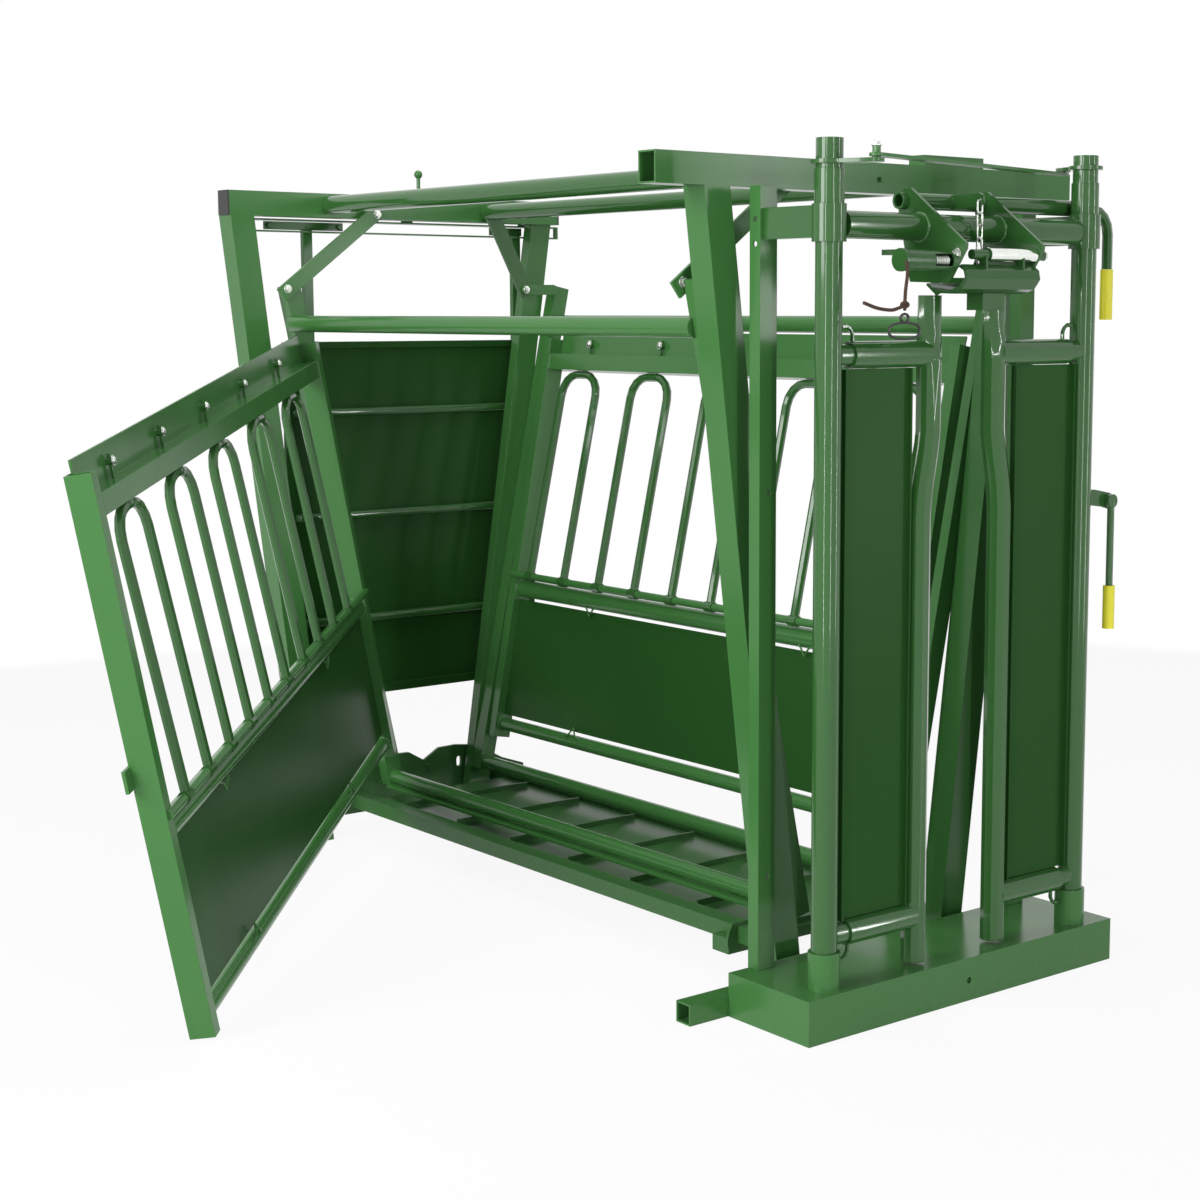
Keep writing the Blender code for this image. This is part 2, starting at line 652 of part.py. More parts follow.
LEVER_EAR = [(440, 1142), (440, 1178), (470, 1178)] + arc(522, 1148, 20, 70, -90, 6) + [(500, 1134)]
LEFT_PIN = (-378.0, -50.0)
RIGHT_PIN = (430.0, 140.0)


def gate_half(side):
    """Post, cross tubes, neck tube and sheet of one headgate half."""
    name = "left" if side < 0 else "right"
    keep = (lambda m: m) if side < 0 else flip
    axis = (side * POST_X, POST_Y, BASE_TOP)
    post = round_bar((-POST_X, POST_Y, BASE_TOP + 1.3), (-POST_X, POST_Y, POST_TOP), POST_R, 20)
    mouth = round_bar((-POST_X, POST_Y, POST_TOP - 50), (-POST_X, POST_Y, POST_TOP + 9), POST_R - 4, 20)
    collar = round_bar((-POST_X, POST_Y, 1838.3), (-POST_X, POST_Y, 1912), 33, 20)
    post = fuse(post, collar)
    level = 1926 if side < 0 else 1947
    pin = LEFT_PIN if side < 0 else (-RIGHT_PIN[0], RIGHT_PIN[1])
    post = cut(fuse(post, plate(ring_arm(pin), 9, on_plane(z=level))), mouth)
    for z in (UPPER_BAR_Z, LOWER_BAR_Z):
        post = fuse(post, round_bar((-POST_X + 20, POST_Y, z), (-310, POST_Y, z), 24, 16))
    if side > 0:
        post = fuse(post, plate(mirrored(LEVER_EAR), 8, on_plane(y=POST_Y)))
    node(name + "_post", "paint", [keep(post)], axis=axis)
    neck = neck_tube()
    for z, x_end in ((UPPER_BAR_Z, NECK_TOP_X), (LOWER_BAR_Z, NECK_LOW_X)):
        outer = round_bar((-356, POST_Y, z), (-x_end - 8, POST_Y, z), 30, 16)
        bore = round_bar((-400, POST_Y, z), (-300, POST_Y, z), 25, 16)
        neck = fuse(neck, cut(outer, bore))
    for z, end, turn in ((UPPER_BAR_Z + 33, UPPER_BAR_Z + 62, 1), (LOWER_BAR_Z - 33, LOWER_BAR_Z - 62, -1)):
        hook = [(-344, POST_Y, z - turn * 6), (-344, POST_Y, z + turn * 12), (-350, POST_Y, end - turn * 6),
                (-360, POST_Y, end), (-376, POST_Y, end)]
        neck = fuse(neck, bent_bar(hook, 5, 1))
    node(name + "_neck", "paint", [keep(neck)], axis=axis)
    lo, hi = LOWER_BAR_Z + 30.6, UPPER_BAR_Z - 30.6
    sheet = block((-377, POST_Y - 2, lo), (-170, POST_Y + 2, hi))
    lip = block((-377, POST_Y - 16, lo), (-373, POST_Y + 1, hi))
    hem = block((-174, POST_Y - 14, lo), (-170, POST_Y + 1, hi))
    node(name + "_panel", "paint_dark", [keep(fuse(sheet, lip, hem))], axis=axis)


def build_link():
    a = Vector((*LEFT_PIN, 0))
    b = Vector((*RIGHT_PIN, 0))
    run = (b - a).normalized()
    side = Vector((-run.y, run.x, 0))
    outline = []
    turn = math.degrees(math.atan2(run.y, run.x))
    outline += arc(a.x, a.y, 16, turn + 90, turn + 270, 8)
    outline += arc(b.x, b.y, 16, turn - 90, turn + 90, 8)
    strap = plate(outline, 7, on_plane(z=1937))
    low_pin = round_bar((a.x, a.y, 1931), (a.x, a.y, 1955), 9, 8)
    bolts = [low_pin, round_bar((b.x, b.y, 1936), (b.x, b.y, 1942), 9, 8)]
    body = fuse(strap, bolts[0], bolts[1])
    node("link_strap", "paint", [body], axis=(a.x, a.y, 1937))


def build_latch():
    tube = round_bar((-156, SHAFT_Y, RELEASE_Z), (470, SHAFT_Y, RELEASE_Z), 19, 16)
    mouth = round_bar((-170, SHAFT_Y, RELEASE_Z), (-124, SHAFT_Y, RELEASE_Z), 14, 16)
    crank = plate([(SHAFT_Y, RELEASE_Z + 16), (10, 1874), (-4, 1868), (-6, 1850), (10, 1842),
                   (SHAFT_Y, RELEASE_Z - 16)], 5, on_plane(x=CHAIN_X), [circle(CHAIN_Y, CHAIN_TOP, 6, 10)])
    bend = [(x, SHAFT_Y, z + RELEASE_Z - 60) for x, z in arc(LEVER_X - 60, 0, 60, 90, 0, 4)]
    lever = bent_bar([(474, SHAFT_Y, RELEASE_Z), *bend, (LEVER_X, SHAFT_Y, 1712)], 13, 2)
    joint = round_bar((462, SHAFT_Y, RELEASE_Z), (480, SHAFT_Y, RELEASE_Z), 13, 12)
    body = fuse(cut(tube, mouth), crank, joint)
    body = fuse(body, lever)
    node("release_shaft", "paint", [body], axis=(0, SHAFT_Y, RELEASE_Z))
    node("release_grip", "yellow", [round_bar((LEVER_X, SHAFT_Y, 1589), (LEVER_X, SHAFT_Y, 1711.6), 16, 14)],
         axis=(0, SHAFT_Y, RELEASE_Z))
    pan = [(-62, 1712), (-80, 1700), (-84, 1680), (-66, 1658), (-30, 1648), (20, 1650), (44, 1668),
           (40, 1672), (14, 1656), (-28, 1654), (-58, 1666), (-74, 1684), (-70, 1698), (-56, 1706)]
    trough = plate(pan, CHEEK_RIGHT - CHEEK_LEFT - 14, on_plane(x=(CHEEK_LEFT + CHEEK_RIGHT) / 2))
    roller = round_bar((-96, ROLLER_Y + 4, ROLLER_Z), (137, ROLLER_Y + 4, ROLLER_Z), 11, 16)
    roller = fuse(roller, round_bar((-46, ROLLER_Y + 4, ROLLER_Z), (107, ROLLER_Y + 4, ROLLER_Z), 15, 20))
    web = [block((x - 3, ROLLER_Y - 10, 1690), (x + 3, ROLLER_Y + 12, ROLLER_Z - 4)) for x in (-60, 60)]
    web.append(plate([(-12, 1640), (-12, 1712), (-6, 1728), (6, 1733), (18, 1728), (24, 1714), (24, 1640)],
                     5, on_plane(x=CHAIN_X), [circle(CHAIN_Y - 1, CHAIN_LOW - 1, 10, 12)]))
    dog = block((-34, -40, 1612), (34, 10, 1650))
    node("latch_pan", "paint_dark", [fuse(trough, *web, roller, dog)],
         axis=(0, ROLLER_Y + 4, ROLLER_Z))
    housing = round_bar((-296, -50, PLUNGER_Z), (CHEEK_LEFT - 4 - GAP, -50, PLUNGER_Z), 22, 20)
    bore = round_bar((-310, -50, PLUNGER_Z), (-150, -50, PLUNGER_Z), 18.5, 20)
    stay = block((-290, -34, 1730), (CHEEK_LEFT - 4 - GAP, 22, 1742))
    window = block((-215, -80, PLUNGER_Z - 12), (-160, -50, PLUNGER_Z + 14))
    node("plunger_housing", "paint_dark", [cut(fuse(housing, stay), bore, window)])
    disc = round_bar((-306, -50, PLUNGER_Z), (-297, -50, PLUNGER_Z), 25, 20)
    rod = round_bar((-300, -50, PLUNGER_Z), (-152, -50, PLUNGER_Z), 8, 12)
    node("plunger", "zinc", [fuse(disc, rod)], axis=(-300, -50, PLUNGER_Z))


def build_spring():
    """The plunger's spring: one helix tube with its least gap to itself printed."""
    points = []
    length = 46.0
    start = -213.0
    steps = SPRING_TURNS * 9
    for k in range(steps + 1):
        a = 2 * math.pi * k / 9
        points.append((start + length * k / steps, -50 + SPRING_RADIUS * math.cos(a),
                       PLUNGER_Z + SPRING_RADIUS * math.sin(a)))
    gap = length / SPRING_TURNS - 2 * SPRING_WIRE
    print("spring: least gap to itself %.2f mm" % gap)
    node("latch_spring", "zinc", [bent_bar(points, SPRING_WIRE, 1)], axis=(-300, -50, PLUNGER_Z))


def chain_link(centre, length, across):
    """An oval chain link standing along Z, facing X or Y."""
    half = length / 2 - 7
    spots = []
    for k in range(12):
        a = 2 * math.pi * (k + 0.5) / 12
        shift = half if math.sin(a) > 0 else -half
        u = 7.5 * math.cos(a)
        v = 7.5 * math.sin(a) + shift
        spots.append((centre[0] + u * across[0], centre[1] + u * across[1], centre[2] + v))
    return bent_bar(spots, 2.4, 1, closed=True)


def build_chain():
    """A short chain from the release crank's eye down to the latch pan's."""
    links = []
    for k in range(5):
        across = (0, 1) if k % 2 else (1, 0)
        links.append(chain_link((CHAIN_X, CHAIN_Y, CHAIN_TOP - 16 - 28 * k), 31, across))
    node("latch_chain", "zinc", [fuse(*links)], axis=(CHAIN_X, CHAIN_Y, CHAIN_TOP))


ROPE_TOP = Vector((-314, -78, PLUNGER_Z - 2))
ROPE_KNOT = Vector((-319, -80, 1622))


def build_rope():
    fall = smooth_line([ROPE_TOP, (-311, -79, 1690), (-316, -79, 1655), ROPE_KNOT + Vector((0, 0, 5))], 4)
    tail = smooth_line([(-322, -80, 1621), (-338, -80, 1616), (-360, -80, 1612), (-400, -80, 1616), (-440, -80, 1627)], 4)
    knot = ball(ROPE_KNOT, 14)
    pieces = [bent_bar([tuple(p) for p in fall], ROPE_R, 2), knot, bent_bar([tuple(p) for p in tail], ROPE_R, 2)]
    node("pull_rope", "rope", [fuse(pieces[1], pieces[0], pieces[2])], axis=ROPE_TOP)
    ring = []
    for k in range(20):
        a = 2 * math.pi * k / 20
        ring.append((-319 + 47 * math.copysign(abs(math.cos(a)) ** 0.8, math.cos(a)), -80,
                     1568 + 17 * math.copysign(abs(math.sin(a)) ** 0.8, math.sin(a))))
    eye = []
    for k in range(12):
        a = 2 * math.pi * k / 12
        eye.append((-319 + 12 * math.cos(a), -80, 1595 + 9 * math.sin(a)))
    node("pull_ring", "black", [fuse(bent_bar(ring, 3, 1, closed=True), bent_bar(eye, 3, 1, closed=True))],
         axis=ROPE_TOP)


def build_hand_lever():
    pin = round_bar((522, POST_Y - 20, 1148), (522, POST_Y - 4 - GAP, 1148), 17, 14)
    node("hand_lever", "paint", [fuse(round_bar((522, POST_Y - 13, 1148), (522, POST_Y - 13, 939), 9, 12), pin)],
         axis=(522, POST_Y, 1148))
    node("hand_grip", "yellow", [round_bar((522, POST_Y - 13, 832), (522, POST_Y - 13, 938.6), 15, 14)],
         axis=(522, POST_Y, 1148))


def main():
    build_base()
    node("left_channel", "paint", [channel(-1)])
    node("right_channel", "paint", [channel(1)])
    build_header()
    build_hoops()
    build_floor()
    build_track()
    build_near_side()
    build_gate("near", open_matrix(-1, NEAR_OPEN), NEAR_LENGTH, NEAR_BARS)
    build_far_side()
    build_gate("far", side_matrix(1, GATE_HINGE_X, GATE_LEAN), FAR_LENGTH, FAR_BARS)
    build_tail_gate()
    gate_half(-1)
    gate_half(1)
    build_link()
    build_latch()
    build_spring()
    build_chain()
    build_rope()
    build_hand_lever()
    total = sum(len(o.data.polygons) for o in PARTS.objects)
    print("pieces", len(PARTS.objects), "triangles", total)
    for o in sorted(PARTS.objects, key=lambda o: -len(o.data.polygons))[:12]:
        print("  ", o.name, len(o.data.polygons))


clear_scene()
main()
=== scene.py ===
import math
import bpy
import numpy as np
from mathutils import Matrix, Vector


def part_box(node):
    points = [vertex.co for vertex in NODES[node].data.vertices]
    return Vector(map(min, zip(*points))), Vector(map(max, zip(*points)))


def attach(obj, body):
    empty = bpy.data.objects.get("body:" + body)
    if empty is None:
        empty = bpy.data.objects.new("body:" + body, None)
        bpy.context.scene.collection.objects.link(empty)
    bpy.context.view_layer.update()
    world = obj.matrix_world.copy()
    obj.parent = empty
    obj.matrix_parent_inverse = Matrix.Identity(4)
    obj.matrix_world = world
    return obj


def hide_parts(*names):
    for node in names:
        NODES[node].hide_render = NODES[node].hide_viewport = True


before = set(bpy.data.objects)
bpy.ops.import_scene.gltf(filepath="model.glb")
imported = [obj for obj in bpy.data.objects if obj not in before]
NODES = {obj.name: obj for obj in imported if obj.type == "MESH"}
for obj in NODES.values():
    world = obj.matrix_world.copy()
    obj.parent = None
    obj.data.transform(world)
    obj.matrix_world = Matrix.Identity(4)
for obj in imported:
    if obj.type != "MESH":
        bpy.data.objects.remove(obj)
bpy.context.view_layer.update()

# The source's own measures in millimetres, y counted there from the base's front face
BASE_SHIFT = 137.5
HEADER_Y = 55.0
HEADER_Z = 1795.0
CHEEK_LEFT = -137.0
CHEEK_RIGHT = 112.0
ROLLER_AXLE = (-61.0, 1734.0)
ROLLER_START = -45.8
ROLLER_PROFILE = ((13.5, 0.0), (15.35, 1.5), (15.35, 151.0), (13.5, 152.5))
STRAP_PINS = ((-378, -50, 1955.1), (430, 140, 1941.8))
PLUNGER_Y = -50.0
PLUNGER_Z = 1719.0
SPRING_START = -213.0
SPRING_LENGTH = 46.0
SPRING_RADIUS = 14.0
SPRING_TURNS = 9
CHAIN_X = 2.0
CHAIN_Y = 8.0
CHAIN_TOP = 1858.0
CHAIN_LINKS = 5
CHAIN_PITCH = 28.0
ROPE_KNOT = (-319.0, -80.0, 1622.0)
ROPE_FALL = ((-314, -78, PLUNGER_Z - 2), (-311, -79, 1690), (-316, -79, 1655), (-319, -80, 1627))
ROPE_TAIL = ((-322, -80, 1621), (-338, -80, 1616), (-360, -80, 1612), (-400, -80, 1616),
             (-440, -80, 1627))

# A side gate: its plane, hinge line and openings, then places by w, y and s (see gate_place)
GATE_LEAN = math.radians(10.73)
GATE_HINGE_X = 186.0
GATE_FOOT_Z = 170.0
GATE_AXIS_OUT = 30.0
GATE_AXIS_Y = 2288.0
GATE_HINGE_Y = 2285.0
NEAR_OPEN = math.radians(44.1)
NEAR_LENGTH = 1905.0
FAR_LENGTH = 1830.0
NEAR_BARS = (236.0, 170.3)
FAR_BARS = (108.0, 179.0)
KEY_S = 1362.0
KEY_W = 3.2
UPRIGHT_WIDTH = 35.0
ROUND_JOINTS = ((568.0, 28.5), (129.0, 21.5))
TOP_RAIL_W = 25.5
TOP_RAIL_S = (1277.0, 1322.0)
BEAD_OUT = 1.5

# The tail gate's ribs
RIB_HEIGHTS = (1303.0, 984.0, 658.0)
RIB_PLANE_Y = 2416.0
RIB_REACH = 425.0
RIB_HALF = 12.5
RIB_DEPTH = 9.5
RIB_END = 14.0

# Metres from here on
ROPE_RADIUS = 0.004
SPRING_WIRE = 0.0016
CHAIN_WIRE = 0.0024
GATE_BEAD = 0.0032
HEADER_BEAD = 0.0034
LINK_PIN_X = 0.329
LINK_PIN_Z = 1.678
BRACE_ENDS = ((0.09, 0.01), (0.93, -0.012))
FLOOR_HALF = 40.0
FLOOR_DROP = 0.0005

# Light: the floor's and the world's shares of glow, then name, place, aim, size and watts
FLOOR_GLOW = 0.92
WORLD_LIGHT = 0.07
SOFT_BOXES = (
    ("left_box", (-6.0, 0.5, 3.2), (0.0, 1.0, 1.0), 3.0, 3.0, 265.0),
    ("front_box", (-1.0, -6.0, 4.0), (0.0, 0.5, 1.0), 2.0, 2.0, 75.0),
    ("top_box", (0.0, 1.2, 5.5), (0.0, 1.1, 0.0), 3.2, 3.2, 110.0),
    ("left_strip", (-5.4, -2.2, 1.6), (0.0, 0.6, 1.0), 0.16, 3.2, 55.0),
    ("front_strip", (-1.4, -5.6, 1.6), (0.0, 0.6, 1.0), 0.14, 3.2, 50.0),
    ("right_strip", (3.6, -4.4, 1.6), (0.2, 0.4, 1.0), 0.14, 3.2, 50.0),
)


def spot(x, y, z):
    """Places given in the source's millimetres, as metres in the frame."""
    return np.stack(np.broadcast_arrays(x, np.asarray(y) - BASE_SHIFT, z), -1) * 0.001


def unit(v):
    v = np.asarray(v, float)
    return v / np.linalg.norm(v)


def run_along(path):
    """The distance along a path at each of its points."""
    steps = np.linalg.norm(np.diff(path, axis=0), axis=1)
    return np.concatenate([[0], np.cumsum(steps)])


def circle(count):
    """Angles once round, without the last, which is the first again."""
    return np.linspace(0, 2 * np.pi, count)[:-1]


# Camera: at the photograph's place, level and lens

bpy.context.scene.view_settings.view_transform = "Standard"


def place_camera():
    """The camera stands in front of the near corner and looks slightly down."""
    azimuth = math.radians(-39.632)
    tilt = math.radians(7.459)
    data = bpy.data.cameras.new("photo_camera")
    data.lens = 63.23
    data.sensor_width = 36.0
    data.shift_x = -0.0918
    data.shift_y = -0.0102
    data.clip_end = 100.0
    camera = bpy.data.objects.new("photo_camera", data)
    back = Vector((math.sin(azimuth) * math.cos(tilt), -math.cos(azimuth) * math.cos(tilt),
                   math.sin(tilt)))
    right = Vector((math.cos(azimuth), math.sin(azimuth), 0.0))
    up = back.cross(right)
    turn = Matrix((right, up, back)).transposed().to_4x4()
    camera.matrix_world = Matrix.Translation((-3.5286, -3.4426, 1.6084)) @ turn
    bpy.context.scene.collection.objects.link(camera)
    bpy.context.scene.camera = camera


place_camera()


# Mesh surfaces

def grid_faces(rows, cols, wrap_rows=False):
    """Quads of a grid of points: each joins a point to its neighbours along both directions.
    Each row closes on itself, and with wrap_rows the last row joins the first."""
    r = np.arange(rows if wrap_rows else rows - 1)
    r, c = [a.ravel() for a in np.meshgrid(r, np.arange(cols), indexing="ij")]
    r2, c2 = (r + 1) % rows, (c + 1) % cols
    return np.stack([r * cols + c, r * cols + c2, r2 * cols + c2, r2 * cols + c], 1)


def join(*solids):
    """Several (points, faces) solids as one."""
    points, faces, start = [], [], 0
    for p, f in solids:
        points.append(p)
        faces += [tuple(int(i) + start for i in face) for face in f]
        start += len(p)
    return np.concatenate(points), faces


def tube(path, radius, sides=16, guide=(0.123, 0.456, 0.881), closed=False):
    """Round tube: at each path point a circle of the given radius, across the path's tangent.
    The circle's first axis is the guide with its part along the tangent taken out."""
    path = np.asarray(path, float)
    ahead = np.roll(path, -1, 0) - np.roll(path, 1, 0)
    if not closed:
        ahead[0] = path[1] - path[0]
        ahead[-1] = path[-1] - path[-2]
    t = ahead / np.linalg.norm(ahead, axis=1, keepdims=True)
    n = np.asarray(guide) - t * (t @ np.asarray(guide))[:, None]
    n = n / np.linalg.norm(n, axis=1, keepdims=True)
    b = np.cross(t, n)
    a = np.arange(sides) * 2 * np.pi / sides
    r = np.broadcast_to(np.asarray(radius, float), (len(path),))[:, None, None]
    ring = np.cos(a)[None, :, None] * n[:, None] + np.sin(a)[None, :, None] * b[:, None]
    points = (path[:, None] + r * ring).reshape(-1, 3)
    faces = [tuple(f) for f in grid_faces(len(path), sides, wrap_rows=closed)]
    if not closed:
        faces.append(tuple(range(sides))[::-1])
        faces.append(tuple(range(len(points) - sides, len(points))))
    return points, faces


def turned(profile, foot, axis, sides=24, phase=0.0):
    """A turned solid: each (radius, height) of the profile is a circle about the axis,
    that far from it and that high above the foot. The first and last circles are filled."""
    axis = unit(axis)
    guide = np.array([0, 0, 1.0]) if abs(axis[2]) < 0.9 else np.array([1.0, 0, 0])
    u = unit(np.cross(guide, axis))
    v = np.cross(axis, u)
    a = np.arange(sides) * 2 * np.pi / sides + phase
    prof = np.asarray(profile, float)
    ring = np.cos(a)[:, None] * u + np.sin(a)[:, None] * v
    points = (np.asarray(foot) + prof[:, 1, None, None] * axis
              + prof[:, 0, None, None] * ring[None])
    faces = [tuple(f) for f in grid_faces(len(prof), sides)]
    faces.append(tuple(range(sides))[::-1])
    faces.append(tuple(range((len(prof) - 1) * sides, len(prof) * sides)))
    return points.reshape(-1, 3), faces


def hex_bolt(foot, axis, size=0.012, stub=0.0):
    """Bolt head on its washer: two turned discs, the second with six sides and a bevelled top,
    and where a stub is given, the thread's end above it."""
    rise = size * 0.19
    top = rise + size * 0.62
    washer = [(size, 0), (size * 1.05, size * 0.04), (size * 1.05, size * 0.14), (size, size * 0.2)]
    head = [(size * 0.86, rise), (size * 0.86, top - size * 0.1), (size * 0.72, top)]
    parts = [turned(washer, foot, axis), turned(head, foot, axis, 6, 0.3)]
    if stub:
        thread = [(size * 0.46, top - 0.001), (size * 0.46, top + stub - 0.001),
                  (size * 0.36, top + stub)]
        parts.append(turned(thread, foot, axis, 14))
    return join(*parts)


def dome_bolt(foot, axis, size):
    """A plated bolt seen from its round side: washer, low dome and a flat spot at the middle."""
    a = np.radians(np.linspace(0, 80, 8))
    washer = [(size * 1.35, 0.0), (size * 1.4, size * 0.08), (size * 1.35, size * 0.2),
              (size * 1.02, size * 0.22)]
    dome = [(size * math.cos(t), size * (0.22 + 0.62 * math.sin(t))) for t in a]
    return turned(washer + dome, foot, axis, 22)


def bead(path, radius, pitch=0.007, seed=0.0):
    """Weld bead: a tube whose radius is R (1 + 0.16 sin(2 pi s / pitch + seed)
    + 0.1 sin(2 pi s / (3.7 pitch) + 2 seed)), s along the path, for the weld's ripples."""
    path = np.asarray(path, float)
    s = run_along(path)
    swell = (1 + 0.16 * np.sin(2 * np.pi * s / pitch + seed)
             + 0.1 * np.sin(2 * np.pi * s / (pitch * 3.7) + 2 * seed))
    return tube(path, radius * swell, 8)


def curve_through(points, steps):
    """Catmull-Rom curve: between each pair of points a cubic that leaves and arrives along
    the chord of the neighbours."""
    p = np.asarray(points, float)
    p = np.concatenate([[2 * p[0] - p[1]], p, [2 * p[-1] - p[-2]]])
    t = (np.arange(steps) / steps)[None, :, None]
    a, b, c, d = [p[i:len(p) - 3 + i, None] for i in range(4)]
    q = 0.5 * (2 * b + (c - a) * t + (2 * a - 5 * b + 4 * c - d) * t ** 2
               + (3 * b - a - 3 * c + d) * t ** 3)
    return np.concatenate([q.reshape(-1, 3), p[-2:-1]])


def add_piece(name, solid, material, body, angle=35.0):
    """A named mesh at the origin that rides on a body, shaded smooth up to the given angle."""
    points, faces = solid
    mesh = bpy.data.meshes.new(name)
    mesh.from_pydata(np.asarray(points).tolist(), [], [list(map(int, f)) for f in faces])
    mesh.validate()
    mesh.materials.append(material)
    mesh.shade_smooth()
    mesh.set_sharp_from_angle(angle=math.radians(angle))
    piece = bpy.data.objects.new(name, mesh)
    bpy.context.scene.collection.objects.link(piece)
    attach(piece, body)
    return piece


# Shader building blocks

def new_group(name, inputs, outputs):
    group = bpy.data.node_groups.new(name, "ShaderNodeTree")
    for label, value in inputs:
        kind = "NodeSocketColor" if isinstance(value, tuple) else "NodeSocketFloat"
        made = group.interface.new_socket(label, in_out="INPUT", socket_type=kind)
        made.default_value = value
    for label, kind in outputs:
        group.interface.new_socket(label, in_out="OUTPUT", socket_type=kind)
    return group, group.nodes.new("NodeGroupInput"), group.nodes.new("NodeGroupOutput")


def object_place(tree):
    return tree.nodes.new("ShaderNodeTexCoord").outputs["Object"]


def noise(tree, scale, detail, vector):
    made = tree.nodes.new("ShaderNodeTexNoise")
    made.inputs["Scale"].default_value = scale
    made.inputs["Detail"].default_value = detail
    tree.links.new(vector, made.inputs["Vector"])
    return made.outputs["Fac"]


def ranged(tree, value, low, high, to_low, to_high):
    made = tree.nodes.new("ShaderNodeMapRange")
    for label, number in (("From Min", low), ("From Max", high), ("To Min", to_low),
                          ("To Max", to_high)):
        made.inputs[label].default_value = number
    tree.links.new(value, made.inputs["Value"])
    return made.outputs["Result"]


def reckoned(tree, operation, first, second):
    """A math node on two values; the first is a socket, the second a socket or a number."""
    made = tree.nodes.new("ShaderNodeMath")
    made.operation = operation
    tree.links.new(first, made.inputs[0])
    if isinstance(second, float):
        made.inputs[1].default_value = second
    else:
        tree.links.new(second, made.inputs[1])
    return made.outputs[0]


def blended(tree, factor, first, second):
    """A colour mix; each colour is a socket or a plain colour."""
    made = tree.nodes.new("ShaderNodeMix")
    made.data_type = "RGBA"
    tree.links.new(factor, made.inputs["Factor"])
    for label, value in (("A", first), ("B", second)):
        target = [s for s in made.inputs if s.name == label and s.type == "RGBA"][0]
        if isinstance(value, tuple):
            target.default_value = value
        else:
            tree.links.new(value, target)
    return [s for s in made.outputs if s.type == "RGBA"][0]


def bevelled(tree, radius, samples):
    """The surface's normal with its edges rounded by the given radius."""
    made = tree.nodes.new("ShaderNodeBevel")
    made.samples = samples
    made.inputs["Radius"].default_value = radius
    return made.outputs["Normal"]


def bumped(tree, shader, height, strength, distance, normal=None):
    """The shader's normal from a height, over the given normal or the surface's own."""
    made = tree.nodes.new("ShaderNodeBump")
    made.inputs["Strength"].default_value = strength
    made.inputs["Distance"].default_value = distance
    tree.links.new(height, made.inputs["Height"])
    if normal is not None:
        tree.links.new(normal, made.inputs["Normal"])
    tree.links.new(made.outputs["Normal"], shader.inputs["Normal"])


def enamel_group():
    """Sprayed enamel: slow shade drift, orange peel, paler edges and dust near the ground.
    The paler edges are painted highlight with rub marks, where the rounded normal leaves the
    surface's own."""
    tree, given, out = new_group(
        "sprayed_enamel",
        [("Colour", (0.1, 0.3, 0.1, 1.0)), ("Deep", (0.03, 0.1, 0.03, 1.0)),
         ("Edge", (0.3, 0.5, 0.3, 1.0)), ("Drift", 0.5), ("Edge Amount", 0.3),
         ("Dust Amount", 0.2)],
        [("Colour", "NodeSocketColor"), ("Roughness", "NodeSocketFloat"),
         ("Height", "NodeSocketFloat")])
    place = object_place(tree)
    slow = noise(tree, 1.1, 1.5, place)
    fine = noise(tree, 34.0, 4.0, place)
    peel = noise(tree, 420.0, 1.5, place)
    shade = ranged(tree, slow, 0.3, 0.7, 0.0, 1.0)
    drift = reckoned(tree, "MULTIPLY", shade, given.outputs["Drift"])
    colour = blended(tree, drift, given.outputs["Colour"], given.outputs["Deep"])

    # Painted highlight with rub marks: the colour is paled towards Edge where the rounded normal
    # leaves the surface's own, broken up by fine noise.
    agree = tree.nodes.new("ShaderNodeVectorMath")
    agree.operation = "DOT_PRODUCT"
    tree.links.new(bevelled(tree, 0.0022, 4), agree.inputs[0])
    tree.links.new(tree.nodes.new("ShaderNodeNewGeometry").outputs["Normal"], agree.inputs[1])
    edge = ranged(tree, agree.outputs["Value"], 0.99, 0.8, 0.0, 1.0)
    edge = reckoned(tree, "MULTIPLY", edge, ranged(tree, fine, 0.42, 0.62, 0.0, 1.0))
    edge = reckoned(tree, "MULTIPLY", edge, given.outputs["Edge Amount"])
    colour = blended(tree, edge, colour, given.outputs["Edge"])

    height = tree.nodes.new("ShaderNodeSeparateXYZ")
    tree.links.new(place, height.inputs[0])
    dust = ranged(tree, height.outputs["Z"], 0.0, 0.22, 1.0, 0.0)
    specks = ranged(tree, noise(tree, 120.0, 5.0, place), 0.5, 0.75, 0.0, 1.0)
    dust = reckoned(tree, "MULTIPLY", dust, specks)
    dust = reckoned(tree, "MULTIPLY", dust, given.outputs["Dust Amount"])
    colour = blended(tree, dust, colour, (0.42, 0.4, 0.33, 1.0))
    tree.links.new(colour, out.inputs["Colour"])
    tree.links.new(ranged(tree, slow, 0.3, 0.7, 0.9, 1.12), out.inputs["Roughness"])
    tree.links.new(peel, out.inputs["Height"])
    return tree


ENAMEL = enamel_group()


# Materials

def blank_material(name):
    made = bpy.data.materials.new(name)
    made.use_nodes = True
    tree = made.node_tree
    return made, tree, tree.nodes["Principled BSDF"]


